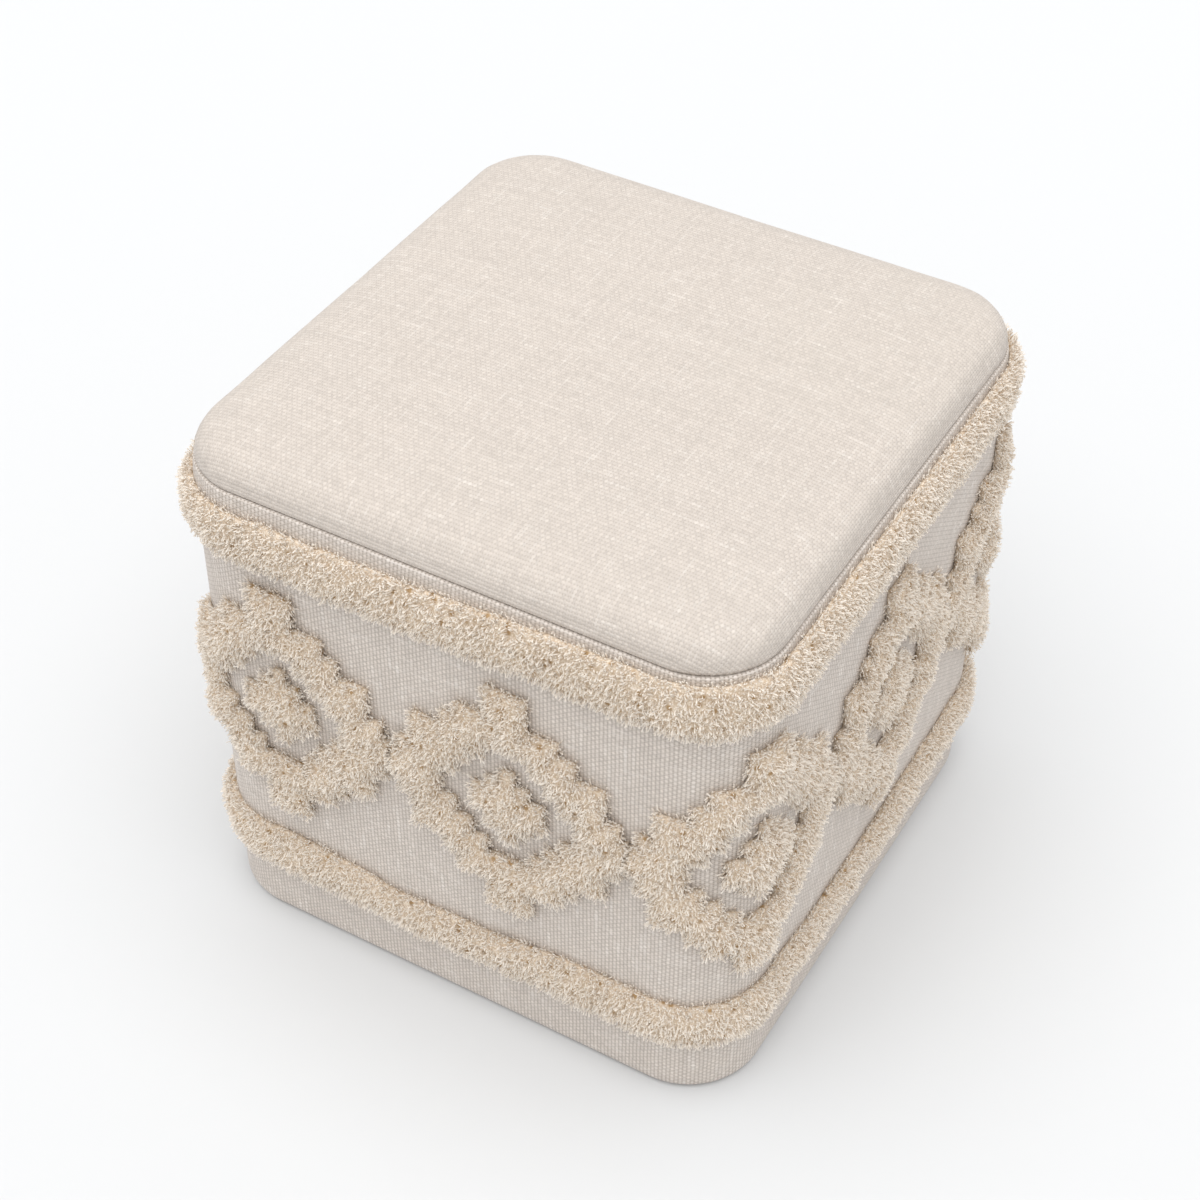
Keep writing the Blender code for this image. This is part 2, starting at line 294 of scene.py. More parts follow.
YARN_SIZE = 1.3 * MM
ROSETTE_SIZE = 9.5 * MM        # the yarn falls open round the middle of each of these
# Up the strand, the yarn is painted darker towards its root as shade, and pale from here on.
PALE_FROM = 0.75               # up the strand
# Painted brown shade reaches up the strand as far as this.
PAINTED_SHADE_UP_TO = 0.8
PARTING_EDGE = (0.14, 0.34)    # in rosettes, from the middle of one
GAP_EDGE = (0.25, 0.7)         # in yarns, from the middle of one


def cut_cotton(name, painted_shade_colour, shaded_root_colour, tip_colour, painted_gap_shade, edge_painted_shade, see_through):
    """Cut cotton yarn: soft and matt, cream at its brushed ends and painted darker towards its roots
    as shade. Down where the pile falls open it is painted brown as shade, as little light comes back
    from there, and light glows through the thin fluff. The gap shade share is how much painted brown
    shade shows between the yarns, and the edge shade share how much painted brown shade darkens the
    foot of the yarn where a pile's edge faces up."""
    material = new_material(name)
    tree = material.node_tree
    up = add_node(tree, "ShaderNodeAttribute", attribute_name="up_the_strand").outputs["Fac"]
    # Painted shade: the yarn is darker towards its root, where less light reaches.
    fade = add_node(tree, "ShaderNodeMapRange", {"Value": up, "From Min": 0.0,
                                                 "From Max": PALE_FROM},
                    interpolation_type="SMOOTHSTEP").outputs[0]
    colour = add_node(tree, "ShaderNodeMix", {"Factor": fade, "A": linear(shaded_root_colour),
                                              "B": linear(tip_colour)}, data_type="RGBA")
    place = add_node(tree, "ShaderNodeTexCoord").outputs["Object"]
    # Painted brown shade where the pile falls open round the middle of each rosette.
    parting = add_node(tree, "ShaderNodeTexVoronoi", {"Vector": place, "Scale": 1 / ROSETTE_SIZE})
    parting = add_node(tree, "ShaderNodeMapRange",
                       {"Value": parting.outputs["Distance"], "From Min": PARTING_EDGE[0],
                        "From Max": PARTING_EDGE[1], "To Min": 1.0, "To Max": 0.0}).outputs[0]
    # Painted brown shade at the foot of the yarn where a pile's edge faces up.
    edge = add_node(tree, "ShaderNodeAttribute", attribute_name="upper_edge").outputs["Fac"]
    edge = add_node(tree, "ShaderNodeMath", {0: edge, 1: edge_painted_shade},
                    operation="MULTIPLY").outputs[0]
    open_place = add_node(tree, "ShaderNodeMath", {0: parting, 1: edge},
                          operation="MAXIMUM").outputs[0]
    low = add_node(tree, "ShaderNodeMapRange", {"Value": up, "From Max": PAINTED_SHADE_UP_TO,
                                                "To Min": 1.0, "To Max": 0.0}).outputs[0]
    deep = add_node(tree, "ShaderNodeMath", {0: open_place, 1: low},
                    operation="MULTIPLY").outputs[0]
    # Painted brown shade in the gaps between the yarns.
    packed = add_node(tree, "ShaderNodeTexVoronoi", {"Vector": place, "Scale": 1 / YARN_SIZE})
    packed = add_node(tree, "ShaderNodeMapRange",
                      {"Value": packed.outputs["Distance"], "From Min": GAP_EDGE[0],
                       "From Max": GAP_EDGE[1], "To Max": painted_gap_shade}).outputs[0]
    deep = add_node(tree, "ShaderNodeMath", {0: deep, 1: packed}, operation="MAXIMUM").outputs[0]
    # The brown mixed in here is painted shade.
    colour = add_node(tree, "ShaderNodeMix", {"Factor": deep, "A": colour.outputs["Result"],
                                              "B": linear(painted_shade_colour)},
                      data_type="RGBA").outputs["Result"]
    cut = add_node(tree, "ShaderNodeBsdfPrincipled",
                   {"Base Color": colour, "Roughness": 0.95, "Specular IOR Level": 0.0})
    glow = add_node(tree, "ShaderNodeBsdfTranslucent", {"Color": colour})
    shader = add_node(tree, "ShaderNodeMixShader", {0: see_through, 1: cut.outputs[0],
                                                    2: glow.outputs[0]})
    add_node(tree, "ShaderNodeOutputMaterial", {"Surface": shader.outputs[0]})
    return material


# ---------------------------------------------------------------------------------------------
# Meshes.
# ---------------------------------------------------------------------------------------------
def merged_copy(node, name):
    """The solid's triangles joined up again, in a new object."""
    piece = bpy.data.objects.new(name, frame["nodes"][node].data.copy())
    bpy.context.scene.collection.objects.link(piece)
    piece.data.materials.clear()
    skin = bmesh.new()
    skin.from_mesh(piece.data)
    bmesh.ops.remove_doubles(skin, verts=skin.verts, dist=SAME_POINT)
    skin.to_mesh(piece.data)
    skin.free()
    for given in ("custom_normal", "sharp_face"):
        if given in piece.data.attributes:
            piece.data.attributes.remove(piece.data.attributes[given])
    return piece


def points_of(mesh):
    places = np.empty(len(mesh.vertices) * 3, np.float32)
    mesh.vertices.foreach_get("co", places)
    return places.reshape(-1, 3).astype(float)


def set_points(mesh, points):
    mesh.vertices.foreach_set("co", points.astype(np.float32).ravel())
    mesh.update()


def apply_modifiers(piece):
    """Makes the modified mesh the piece's own."""
    seen = piece.evaluated_get(bpy.context.evaluated_depsgraph_get())
    mesh = bpy.data.meshes.new_from_object(seen)
    piece.modifiers.clear()
    before = piece.data
    piece.data = mesh
    bpy.data.meshes.remove(before)


def write_thread_map(mesh, per_point):
    """Where each point is on the flat cloth, in metres across its warp and along it."""
    corners = np.empty(len(mesh.loops), np.int32)
    mesh.loops.foreach_get("vertex_index", corners)
    layer = mesh.uv_layers.get("thread_map") or mesh.uv_layers.new(name="thread_map")
    layer.data.foreach_set("uv", per_point[corners].astype(np.float32).ravel())


def finish_piece(piece, nodes):
    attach(piece, "root")
    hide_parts(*nodes)


# ---------------------------------------------------------------------------------------------
# The seat: a foam pad under pulled cloth.
# ---------------------------------------------------------------------------------------------
SEAT_VOXEL = 6 * MM
SEAT_SWELL_CAP = 3 * MM        # no point moves farther than this
SEAT_FRAMES = 20
SEAT_EVEN_ROUNDS = 40
SEAT_PRESSURE = 4.0
SEAT_HELD = 5 * MM             # the seam holds it up to this height


def spread_evenly(mesh, moved, pinned, rounds):
    """Averages how far each point has moved with its neighbours, a few times over."""
    pairs = np.empty(len(mesh.edges) * 2, np.int32)
    mesh.edges.foreach_get("vertices", pairs)
    first, second = pairs.reshape(-1, 2).T
    neighbours = np.maximum(np.bincount(pairs, minlength=len(moved)), 1)[:, None]
    for _ in range(rounds):
        around = np.zeros_like(moved)
        np.add.at(around, first, moved[second])
        np.add.at(around, second, moved[first])
        moved = (moved + around / neighbours) / 2
        moved[pinned] = 0
    return moved


def swell(piece, pinned, frames, cap):
    """Blows the pad up like a stuffed one under its cloth, and keeps the result."""
    start = points_of(piece.data)
    group = piece.vertex_groups.new(name="held")
    group.add([int(place) for place in np.nonzero(pinned)[0]], 1.0, "REPLACE")
    cloth = piece.modifiers.new("cloth", "CLOTH")
    cloth.settings.use_pressure = True
    cloth.settings.uniform_pressure_force = SEAT_PRESSURE
    cloth.settings.effector_weights.gravity = 0.0
    cloth.settings.vertex_group_mass = "held"
    cloth.settings.quality = 4
    cloth.point_cache.frame_start = 1
    cloth.point_cache.frame_end = frames
    for step in range(1, frames + 1):
        bpy.context.scene.frame_set(step)
    apply_modifiers(piece)
    bpy.context.scene.frame_set(1)
    moved = points_of(piece.data) - start
    far = np.linalg.norm(moved, axis=1)
    moved *= (np.minimum(far, cap) / np.maximum(far, 1e-9))[:, None]
    moved = spread_evenly(piece.data, moved, pinned, SEAT_EVEN_ROUNDS)
    set_points(piece.data, start + moved)
    piece.vertex_groups.clear()


def seat_outline(points):
    """Distance inside the seat's outline, and the way out, for each point."""
    core_x = SEAT_HIGH.x - SEAT_CORNER_RADIUS
    core_y = SEAT_HIGH.y - SEAT_CORNER_RADIUS
    x, y = points[:, 0], points[:, 1]
    from_core = np.stack([x - np.clip(x, -core_x, core_x), y - np.clip(y, -core_y, core_y)], 1)
    reach = np.linalg.norm(from_core, axis=1)
    inside = SEAT_CORNER_RADIUS - reach
    return inside, from_core / np.maximum(reach, 1e-9)[:, None]


def turn_under(points):
    """Brings the foot of the pad's sides back to its small turn at the seam."""
    inside, out = seat_outline(points)
    up = points[:, 2] - SEAT_LOW.z
    into_turn = np.clip(SEAT_SEAM_RADIUS - up, 0, SEAT_SEAM_RADIUS)
    target = SEAT_SEAM_RADIUS - np.sqrt(SEAT_SEAM_RADIUS ** 2 - into_turn ** 2) + SEAT_DRAWN_IN
    at_foot = (up > SEAT_BASE_EDGE) & (up < SEAT_FOOT) & (inside < 3 * SEAT_SEAM_RADIUS)
    left = np.clip((SEAT_FOOT - up) / (SEAT_FOOT - SEAT_SEAM_RADIUS), 0, 1)
    ease = left ** 2 * (3 - 2 * left) * at_foot
    ease[(up <= SEAT_BASE_EDGE) & (inside < target)] = 1      # nothing of the base sticks out
    moved = points.copy()
    moved[:, :2] += out * ((inside - target) * ease)[:, None]
    return moved


def seat_pad(material):
    """The seat's cover, with even faces, swollen like a stuffed pad."""
    piece = merged_copy("seat_cushion", "seat_pad")
    remesh = piece.modifiers.new("even faces", "REMESH")
    remesh.mode = "VOXEL"
    remesh.voxel_size = SEAT_VOXEL
    apply_modifiers(piece)
    points = points_of(piece.data)
    held = points[:, 2] < SEAT_LOW.z + SEAT_HELD
    swell(piece, held, SEAT_FRAMES, SEAT_SWELL_CAP)
    smooth = piece.modifiers.new("even skin", "SUBSURF")
    smooth.levels = smooth.render_levels = 1
    apply_modifiers(piece)
    points = turn_under(points_of(piece.data))
    set_points(piece.data, points)
    # The threads run flat over the top and on down the sides, as far as the cloth is long.
    inside, out = seat_outline(points)
    side_top = SEAT_HIGH.z - SEAT_CROWN - SEAT_TOP_RADIUS
    rolled = np.arccos(np.clip((points[:, 2] - side_top) / SEAT_TOP_RADIUS, 0, 1))
    rolled = np.where(inside > SEAT_TOP_RADIUS, 0, rolled)
    extra = SEAT_TOP_RADIUS * (rolled - np.sin(rolled)) + np.maximum(side_top - points[:, 2], 0)
    spread = points[:, :2] + out * extra[:, None]
    write_thread_map(piece.data, spread[:, ::-1])
    piece.data.shade_smooth()
    piece.data.materials.append(material)
    finish_piece(piece, ["seat_cushion"])
    return piece


# ---------------------------------------------------------------------------------------------
# The body: the same cloth, taut over a filled cube.
# ---------------------------------------------------------------------------------------------
COVER_STEP = 6 * MM
RIM_DRAWN_FROM = 12 * MM       # below the seam the cover is drawn in over this height
RIM_DRAWN_IN = 1.6 * MM        # by this much
BASE_TURNS = (0, 15, 30, 45, 60, 75)                   # degrees round the bottom edge
RIM_TURNS = (22.5, 45, 67.5, 90)                       # and round the top edge
BASE_RING = 0.5                # the rings of the flat base and top, in shares of the outline
TOP_RINGS = (0.97, 0.9, 0.6, 0.25)
BASE_RUN, TOP_RUN = 0.1, 0.2   # metres of cloth given to them, where nobody sees it


def body_cover(material):
    """The body's cover: rings of points round its outline, from the flat base to the top."""
    steps = int(round(GIRTH / COVER_STEP))
    along = np.arange(steps) * GIRTH / steps
    point, out = outline_points(along)
    top = BODY_HIGH.z
    profile = []
    for turn in np.radians(BASE_TURNS):
        profile.append((BASE_EDGE_RADIUS * (1 - math.sin(turn)),
                        BASE_EDGE_RADIUS * (1 - math.cos(turn))))
    straight = top - RIM_EDGE_RADIUS - BASE_EDGE_RADIUS
    rows = int(round(straight / COVER_STEP))
    for row in range(rows + 1):
        height = BASE_EDGE_RADIUS + straight * row / rows
        into_seam = max(height - (top - RIM_DRAWN_FROM), 0.0) / RIM_DRAWN_FROM
        profile.append((RIM_DRAWN_IN * into_seam ** 1.5, height))
    for turn in np.radians(RIM_TURNS):
        profile.append((profile[-1][0] + RIM_EDGE_RADIUS * (1 - math.cos(turn)) / 4,
                        top - RIM_EDGE_RADIUS + RIM_EDGE_RADIUS * math.sin(turn)))
    rings, maps = [], []
    run = 0.0
    for number, (inset, height) in enumerate(profile):
        if number:
            run += math.dist(profile[number - 1], profile[number])
        flat = point + out * (bow_at(along, np.full(steps, height)) - inset)[:, None]
        rings.append(np.column_stack([flat, np.full(steps, height)]))
        maps.append(np.column_stack([along, np.full(steps, run)]))
    top_rings = [rings[-1] * np.array([share, share, 1.0]) for share in TOP_RINGS]
    top_maps = [maps[-1] + np.array([0, TOP_RUN * (1 - share)]) for share in TOP_RINGS]
    rings = [rings[0] * np.array([BASE_RING, BASE_RING, 1.0])] + rings + top_rings
    maps = [maps[0] - np.array([0, BASE_RUN])] + maps + top_maps
    skin = bmesh.new()
    loops = [[skin.verts.new(place) for place in ring] for ring in rings]
    for lower, upper in zip(loops, loops[1:]):
        for here in range(steps):
            after = (here + 1) % steps
            skin.faces.new((lower[here], lower[after], upper[after], upper[here]))
    skin.faces.new(list(reversed(loops[0])))
    skin.faces.new(loops[-1])
    mesh = bpy.data.meshes.new("body_cover")
    skin.to_mesh(mesh)
    skin.free()
    piece = bpy.data.objects.new("body_cover", mesh)
    bpy.context.scene.collection.objects.link(piece)
    write_thread_map(mesh, np.concatenate(maps))
    # The last column of faces joins the end of the cloth to its start.
    layer = mesh.uv_layers["thread_map"]
    uvs = np.empty(len(mesh.loops) * 2, np.float32)
    layer.data.foreach_get("uv", uvs)
    uvs = uvs.reshape(-1, 2)
    for face in mesh.polygons:
        us = uvs[face.loop_start:face.loop_start + face.loop_total, 0]
        if us.max() - us.min() > GIRTH / 2 and face.loop_total == 4:
            us[us < GIRTH / 2] += GIRTH
    layer.data.foreach_set("uv", uvs.ravel())
    mesh.shade_smooth()
    mesh.materials.append(material)
    finish_piece(piece, ["body"])
    return piece


# ---------------------------------------------------------------------------------------------
# The pile.
# ---------------------------------------------------------------------------------------------
STRAND_SIDES = 3
STRAND_HALF_WIDTH = 0.104      # of a strand one unit long
BENT_ENDS, STRAIGHT_ENDS = 2, 7

BED_SHARE = 0.65               # the matted roots fill this share of the pile's height
BED_BACK = 0.2 * MM            # and start this far off the cloth
UPPER_RIM_INSET = 1.8 * MM     # they stop this far inside the pile's outline
LOWER_RIM_INSET = 1.0 * MM
BACK_OFF = 3.0 * MM            # points nearer to the cloth than this are on a slab's back
RIM_LIMIT = 0.3                # points whose side faces turn away more than this are on its rim
LOCK_TIP_REACH = 4.9 * MM      # no edge of a lock's small end is longer than this
FACE_ANGLE, SHAPE_ANGLE = math.radians(40), math.radians(60)

# How far the yarn leans, as a slope: outwards at the rim's back and front, more so where the rim
# faces down, and a little down everywhere by its weight.
BACK_SPREAD, FRONT_SPREAD, LOWER_SPREAD, DROOP = 1.3, 0.8, 0.9, 0.2

LUMPS_PER_METRE = 95.0
CLUMP_SIZE = 8 * MM            # yarn ends this near to each other lean the same way
DENSEST = 2.4e6                # yarn ends a square metre, before those too close are left out
SHORTEST, LONGEST = 0.75, 1.15
STRAY_SEED, SPIN_SEED, LENGTH_SEED, PICK_SEED = 11, 12, 13, 14


def yarn_end(name, collection, rings):
    """A closed three-sided end of yarn that grows from a point through rings of (height, width,
    sideways, turn) and is cut off square."""
    mesh = bmesh.new()
    up_layer = mesh.verts.layers.float.new("up_the_strand")
    root = mesh.verts.new((0, 0, 0))
    root[up_layer] = 0.0
    loops = []
    for height, width, aside, turn in rings:
        middle = Vector((aside * math.cos(turn), aside * math.sin(turn), height))
        loop = []
        for side in range(STRAND_SIDES):
            angle = 2 * math.pi * side / STRAND_SIDES
            edge = Vector((math.cos(angle), math.sin(angle), 0)) * width * STRAND_HALF_WIDTH
            loop.append(mesh.verts.new(middle + edge))
            loop[-1][up_layer] = height
        loops.append(loop)
    for side in range(STRAND_SIDES):
        after = (side + 1) % STRAND_SIDES
        mesh.faces.new((loops[0][side], root, loops[0][after]))
        for lower, upper in zip(loops, loops[1:]):
            mesh.faces.new((lower[side], lower[after], upper[after], upper[side]))
    mesh.faces.new(loops[-1])
    data = bpy.data.meshes.new(name)
    mesh.to_mesh(data)
    mesh.free()
    collection.objects.link(bpy.data.objects.new(name, data))


def yarn_ends():
    """A few bent and straight ends of yarn, about one unit long, for the pile to pick from."""
    collection = bpy.data.collections.new("yarn_ends")
    bpy.context.scene.collection.children.link(collection)
    for number in range(BENT_ENDS):
        turn = 2.6 * number
        bend = 0.1 + 0.06 * number
        rings = [(0.5, 0.95, bend * 0.5, turn), (1.0, 0.85, bend * 2.4, turn + 0.5)]
        yarn_end(f"bent_end_{number}", collection, rings)
    for number in range(STRAIGHT_ENDS):
        yarn_end(f"straight_end_{number}", collection, [(0.74 + 0.05 * number, 1.0, 0.0, 0.0)])
    return collection


def pile_tree(collection, yarn_material):
    """Geometry nodes that plant ends of yarn all over a bed, leaning where it says."""
    tree = bpy.data.node_groups.new("standing pile", "GeometryNodeTree")
    interface = tree.interface
    interface.new_socket("Geometry", in_out="INPUT", socket_type="NodeSocketGeometry")
    interface.new_socket("Geometry", in_out="OUTPUT", socket_type="NodeSocketGeometry")
    for name, value in (("Spacing", 1.2 * MM), ("Length", 8 * MM), ("Fall open", 0.9),
                        ("Clump lean", 0.8), ("Stray lean", 1.1), ("Lumps", 1.5 * MM)):
        socket = interface.new_socket(name, in_out="INPUT", socket_type="NodeSocketFloat")
        socket.default_value = value
    seed = interface.new_socket("Seed", in_out="INPUT", socket_type="NodeSocketInt")
    seed.default_value = 1

    def vector(operation, first, second=None, scale=None):
        values = {0: first}
        if second is not None:
            values[1] = second
        if scale is not None:
            values["Scale"] = scale
        return add_node(tree, "ShaderNodeVectorMath", values, operation=operation).outputs[0]

    def random(low, high, number, data_type="FLOAT"):
        slot, output = {"FLOAT": (2, 1), "INT": (4, 2), "FLOAT_VECTOR": (0, 0)}[data_type]
        node = add_node(tree, "FunctionNodeRandomValue", {slot: low, slot + 1: high,
                                                          "Seed": number}, data_type=data_type)
        return node.outputs[output]

    given = add_node(tree, "NodeGroupInput").outputs
    finer = add_node(tree, "GeometryNodeSubdivideMesh", {"Mesh": given["Geometry"],
                                                         "Level": 1}).outputs[0]
    position = add_node(tree, "GeometryNodeInputPosition").outputs[0]
    lean = add_node(tree, "GeometryNodeInputNamedAttribute", {"Name": "lean"},
                    data_type="FLOAT_VECTOR").outputs["Attribute"]
    standing = add_node(tree, "GeometryNodeInputNamedAttribute", {"Name": "standing"},
                        data_type="FLOAT").outputs["Attribute"]
    lumps = add_node(tree, "ShaderNodeTexNoise", {"Vector": position, "Scale": LUMPS_PER_METRE,
                                                  "Detail": 1.0}).outputs["Fac"]
    lumps = add_node(tree, "ShaderNodeMath", {0: lumps, 1: -0.5}, operation="ADD").outputs[0]
    lumps = add_node(tree, "ShaderNodeMath", {0: lumps, 1: given["Lumps"]},
                     operation="MULTIPLY").outputs[0]
    lumps = add_node(tree, "ShaderNodeMath", {0: lumps, 1: standing},
                     operation="MULTIPLY").outputs[0]
    lumpy = add_node(tree, "GeometryNodeSetPosition",
                     {"Geometry": finer, "Offset": vector("SCALE", lean, scale=lumps)}).outputs[0]
    points = add_node(tree, "GeometryNodeDistributePointsOnFaces",
                      {"Mesh": lumpy, "Distance Min": given["Spacing"], "Density Max": DENSEST,
                       "Density Factor": standing, "Seed": given["Seed"]},
                      distribute_method="POISSON").outputs["Points"]
    clumps = add_node(tree, "ShaderNodeTexNoise", {"Vector": position, "Scale": 1 / CLUMP_SIZE,
                                                   "Detail": 2.0, "Roughness": 0.6})
    clump = vector("SCALE", vector("SUBTRACT", clumps.outputs["Color"], NOISE_MIDDLE),
                   scale=given["Clump lean"])
    cells = add_node(tree, "ShaderNodeTexVoronoi", {"Vector": position,
                                                    "Scale": 1 / ROSETTE_SIZE})
    from_middle = vector("SUBTRACT", position, cells.outputs["Position"])
    opened = vector("SCALE", vector("SCALE", from_middle, scale=1 / ROSETTE_SIZE),
                    scale=given["Fall open"])
    stray = vector("SCALE", random((-1.0,) * 3, (1.0,) * 3, STRAY_SEED, "FLOAT_VECTOR"),
                   scale=given["Stray lean"])
    way = vector("NORMALIZE", vector("ADD", vector("ADD", lean, clump),
                                     vector("ADD", opened, stray)))
    stand = add_node(tree, "FunctionNodeAlignRotationToVector", {"Vector": way}, axis="Z")
    spin = add_node(tree, "FunctionNodeAxisAngleToRotation",
                    {"Axis": (0, 0, 1), "Angle": random(0.0, 2 * math.pi, SPIN_SEED)})
    turned = add_node(tree, "FunctionNodeRotateRotation",
                      {"Rotation": stand.outputs[0], "Rotate By": spin.outputs[0]},
                      rotation_space="LOCAL").outputs[0]
    length = add_node(tree, "ShaderNodeMath",
                      {0: given["Length"], 1: random(SHORTEST, LONGEST, LENGTH_SEED)},
                      operation="MULTIPLY").outputs[0]
    ends = add_node(tree, "GeometryNodeCollectionInfo", {"Collection": collection,
                                                         "Separate Children": True,
                                                         "Reset Children": True}).outputs[0]
    planted = add_node(tree, "GeometryNodeInstanceOnPoints",
                       {"Points": points, "Instance": ends, "Pick Instance": True,
                        "Instance Index": random(0, len(collection.objects) - 1, PICK_SEED,
                                                 "INT"),
                        "Rotation": turned, "Scale": length}).outputs[0]
    real = add_node(tree, "GeometryNodeRealizeInstances", {"Geometry": planted}).outputs[0]
    yarn = add_node(tree, "GeometryNodeSetMaterial", {"Geometry": real,
                                                      "Material": yarn_material})
    joined = add_node(tree, "GeometryNodeJoinGeometry")
    tree.links.new(lumpy, joined.inputs[0])
    tree.links.new(yarn.outputs[0], joined.inputs[0])
    add_node(tree, "NodeGroupOutput", {0: joined.outputs[0]})
    return tree


def pile_bed(node, name):
    """The matted roots of one pile piece, from its solid: lower than the solid and inside its
    outline, with the way that the yarn leans at each point."""
    piece = merged_copy(node, name)
    skin = bmesh.new()
    skin.from_mesh(piece.data)
    small = [face for face in skin.faces
             if max(edge.calc_length() for edge in face.edges) < LOCK_TIP_REACH]
    tips = {corner for face in small for corner in face.verts}
    bmesh.ops.delete(skin, geom=list(tips), context="VERTS")
    bmesh.ops.holes_fill(skin, edges=[edge for edge in skin.edges if edge.is_boundary], sides=4)
    bmesh.ops.join_triangles(skin, faces=skin.faces, angle_face_threshold=FACE_ANGLE,
                             angle_shape_threshold=SHAPE_ANGLE)
    skin.normal_update()
    points = np.array([corner.co for corner in skin.verts])
    along, off, out = unroll(points)
    off_cloth = off - bow_at(along, points[:, 2])
    is_back = off_cloth < BACK_OFF
    sideways = np.zeros_like(points)
    for face in skin.faces:
        corners = [corner.index for corner in face.verts]
        backs = is_back[corners]
        if backs.all() or not backs.any():
            continue
        for corner in corners:
            sideways[corner] += np.array(face.normal)
    sideways -= out * (sideways * out).sum(1)[:, None]
    size = np.linalg.norm(sideways, axis=1)
    on_rim = size > RIM_LIMIT
    sideways = sideways / np.maximum(size, 1e-9)[:, None] * on_rim[:, None]
    low = np.where(is_back, BED_BACK, off_cloth * BED_SHARE)
    downward = np.clip(-sideways[:, 2], 0, 1)
    inset = UPPER_RIM_INSET + (LOWER_RIM_INSET - UPPER_RIM_INSET) * downward
    points += out * (low - off_cloth)[:, None] - sideways * inset[:, None]
    for corner, place in zip(skin.verts, points):
        corner.co = place
    spread = np.where(is_back, BACK_SPREAD, FRONT_SPREAD) + LOWER_SPREAD * downward
    lean = out + sideways * spread[:, None] - np.array([0, 0, DROOP])
    skin.to_mesh(piece.data)
    skin.free()
    mesh = piece.data
    for label, kind, values in (("lean", "FLOAT_VECTOR", lean),
                                ("standing", "FLOAT", np.where(is_back & ~on_rim, 0.0, 1.0)),
                                ("upper_edge", "FLOAT", np.clip(sideways[:, 2], 0, 1))):
        attribute = mesh.attributes.new(label, kind, "POINT")
        attribute.data.foreach_set("vector" if kind == "FLOAT_VECTOR" else "value",
                                   values.astype(np.float32).ravel())
    return piece


def plant_pile(piece, tree, length, seed, spacing):
    """Grows the yarn ends on a bed, and keeps both as one mesh."""
    growing = piece.modifiers.new("pile", "NODES")
    growing.node_group = tree
    sockets = {item.name: item.identifier for item in tree.interface.items_tree
               if item.in_out == "INPUT"}
    growing[sockets["Length"]] = length
    growing[sockets["Seed"]] = seed
    growing[sockets["Spacing"]] = spacing
    apply_modifiers(piece)


# How long the yarn ends are, and how far apart they stand.
PILE_KINDS = {"upper_band": (5.1 * MM, 1.20 * MM), "lower_band": (5.1 * MM, 1.20 * MM),
              "diamond": (5.1 * MM, 1.16 * MM), "heart": (5.1 * MM, 1.16 * MM)}


def pile():
    """A bed with its yarn for each pile solid: two bands, nine diamonds and their hearts."""
    ends = yarn_ends()
    # The deep colours are painted brown shade, for where the pile falls open, between the yarns and
    # at the foot of the yarn where an edge faces up; the yarn's darker root colour is painted shade
    # too.
    bed_material = cut_cotton("matted cotton roots", painted_shade_colour="#AC8F6B",
                              shaded_root_colour="#EFE4D5", tip_colour="#EFE4D5", painted_gap_shade=0.6,
                              edge_painted_shade=0.15, see_through=0.0)
    yarn_material = cut_cotton("cut cotton yarn", painted_shade_colour="#B99C75", shaded_root_colour="#F3E9DC",
                               tip_colour="#FAF5EE", painted_gap_shade=0.0, edge_painted_shade=0.5,
                               see_through=0.4)
    tree = pile_tree(ends, yarn_material)
    names = sorted(name for name in frame["nodes"] if name not in ("body", "seat_cushion"))
    for seed, node in enumerate(names):
        piece = pile_bed(node, node + "_pile")
        piece.data.materials.append(bed_material)
        length, spacing = PILE_KINDS[node if node in PILE_KINDS else node.split("_")[0]]
        plant_pile(piece, tree, length, seed, spacing)
        finish_piece(piece, [node])
    for strand in list(ends.objects):
        bpy.data.objects.remove(strand)
    bpy.data.collections.remove(ends)


# ---------------------------------------------------------------------------------------------
# Floor, light and camera.
# ---------------------------------------------------------------------------------------------
CAMERA_TURN = 29.913           # degrees
CAMERA_TILT = 42.563
CAMERA_ROLL = 0.376
CAMERA_DISTANCE = 1.6409
CAMERA_TARGET = Vector((-0.0210, 0.0227, 0.1684))
FOCAL_PIXELS = 2374.8
PHOTO_PIXELS = 1200
SENSOR = 36.0

FLOOR_RADIUS = 4.0
ROOM_LIGHT = 0.75
SOFTBOX_LIGHT = 2.4
SOFTBOX_SPREAD = math.radians(70)
SOFTBOX_FROM = Vector((0.05, -0.2, 1))


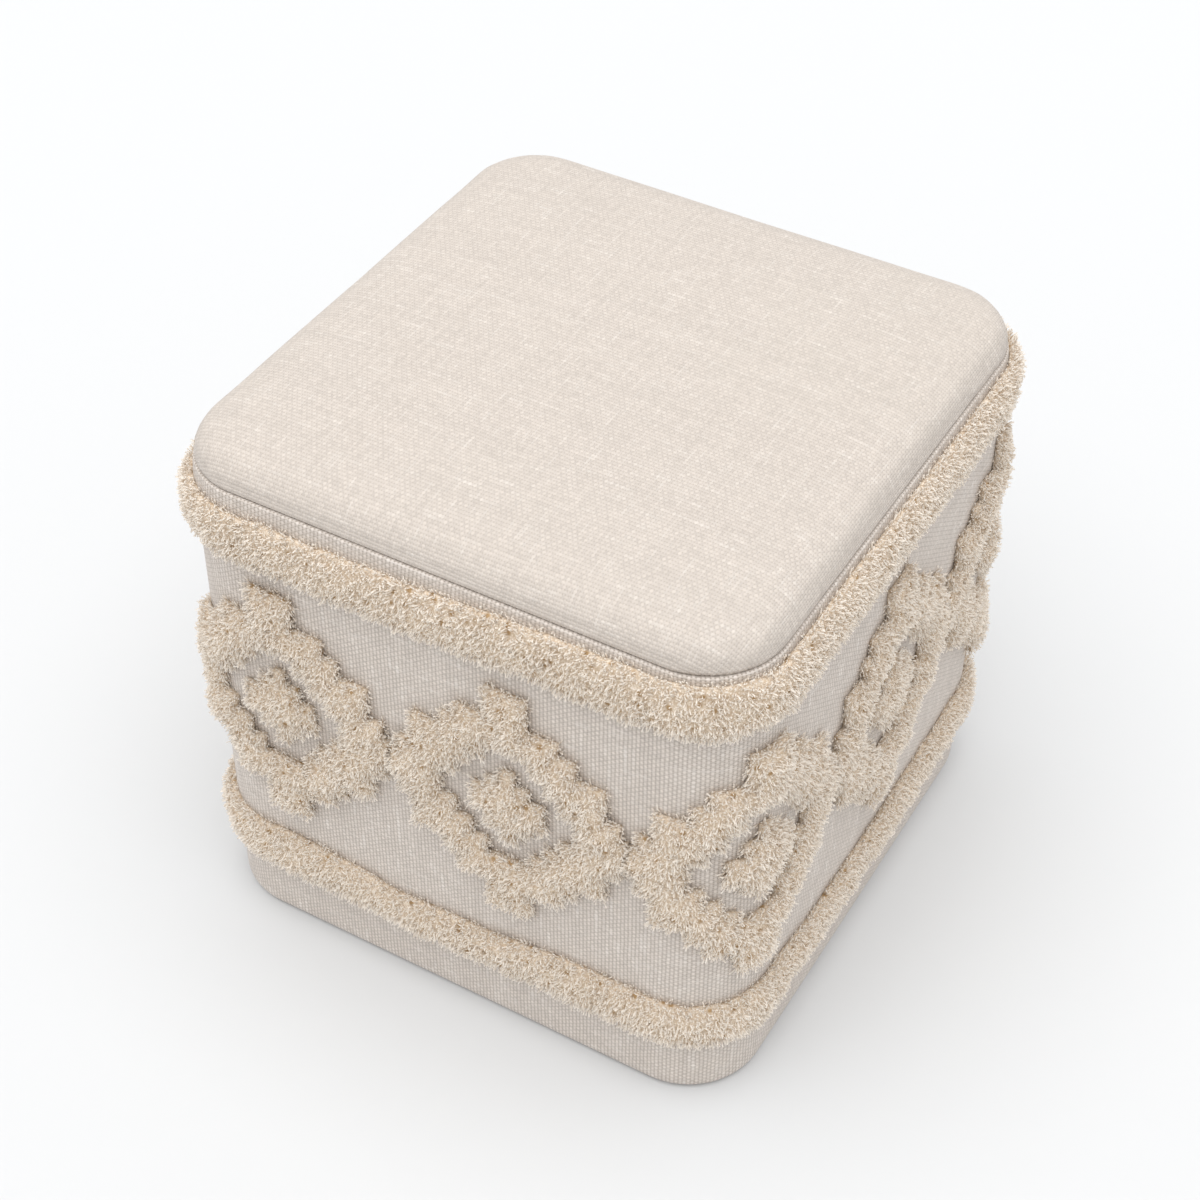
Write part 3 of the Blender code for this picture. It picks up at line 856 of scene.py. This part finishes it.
def camera():
    """The camera at the photo's angle, as fitted to its outline and seam."""
    turn, tilt, roll = (math.radians(v) for v in (CAMERA_TURN, CAMERA_TILT, CAMERA_ROLL))
    back = Vector((math.sin(turn) * math.cos(tilt), -math.cos(turn) * math.cos(tilt),
                   math.sin(tilt)))
    level = Vector((math.cos(turn), math.sin(turn), 0))
    upward = back.cross(level)
    right = level * math.cos(roll) + upward * math.sin(roll)
    upward = back.cross(right)
    data = bpy.data.cameras.new("camera")
    data.sensor_width = SENSOR
    data.lens = FOCAL_PIXELS / PHOTO_PIXELS * SENSOR
    data.clip_start = 0.05
    thing = bpy.data.objects.new("camera", data)
    axes = Matrix((right, upward, back)).transposed().to_4x4()
    thing.matrix_world = Matrix.Translation(CAMERA_TARGET + back * CAMERA_DISTANCE) @ axes
    bpy.context.scene.collection.objects.link(thing)
    bpy.context.scene.camera = thing


def studio():
    """A pale floor, light from all round and a wide soft light overhead."""
    floor_mesh = bpy.data.meshes.new("floor")
    edge = bmesh.new()
    bmesh.ops.create_circle(edge, cap_ends=True, segments=96, radius=FLOOR_RADIUS)
    edge.to_mesh(floor_mesh)
    edge.free()
    floor = bpy.data.objects.new("floor", floor_mesh)
    bpy.context.scene.collection.objects.link(floor)
    material = new_material("matt white paper")
    tree = material.node_tree
    shader = add_node(tree, "ShaderNodeBsdfPrincipled", {"Base Color": linear("#D4D5D6"),
                                                         "Roughness": 0.9,
                                                         "Specular IOR Level": 0.1})
    add_node(tree, "ShaderNodeOutputMaterial", {"Surface": shader.outputs[0]})
    floor_mesh.materials.append(material)
    world = bpy.data.worlds.new("soft room")
    world.use_nodes = True
    background = world.node_tree.nodes["Background"]
    background.inputs["Color"].default_value = linear("#FFFFFF")
    background.inputs["Strength"].default_value = ROOM_LIGHT
    bpy.context.scene.world = world
    sun = bpy.data.lights.new("overhead softbox", "SUN")
    sun.energy = SOFTBOX_LIGHT
    sun.angle = SOFTBOX_SPREAD
    thing = bpy.data.objects.new("overhead softbox", sun)
    thing.rotation_euler = SOFTBOX_FROM.to_track_quat("Z", "Y").to_euler()
    bpy.context.scene.collection.objects.link(thing)
    bpy.context.scene.view_settings.view_transform = "Standard"


def main():
    # The seat and the sides wear one cloth, and its two copies differ in colour only as painted
    # light and shade: the seat's threads are darker to offset the strong light on top, and the
    # side's threads are paler, with darker pinholes.
    seat_pad(slub_cotton("seat slub cotton", warp_colour="#CAC1B8", weft_colour="#C5BCB4",
                         slub_colour="#DCD5CD", pinhole_shade_colour="#B9AFA4", relief=0.4 * MM))
    body_cover(slub_cotton("side slub cotton", warp_colour="#D7CEC6", weft_colour="#C5BCB3",
                           slub_colour="#E9E3DD", pinhole_shade_colour="#9F9287", relief=0.25 * MM))
    pile()
    camera()
    studio()


main()
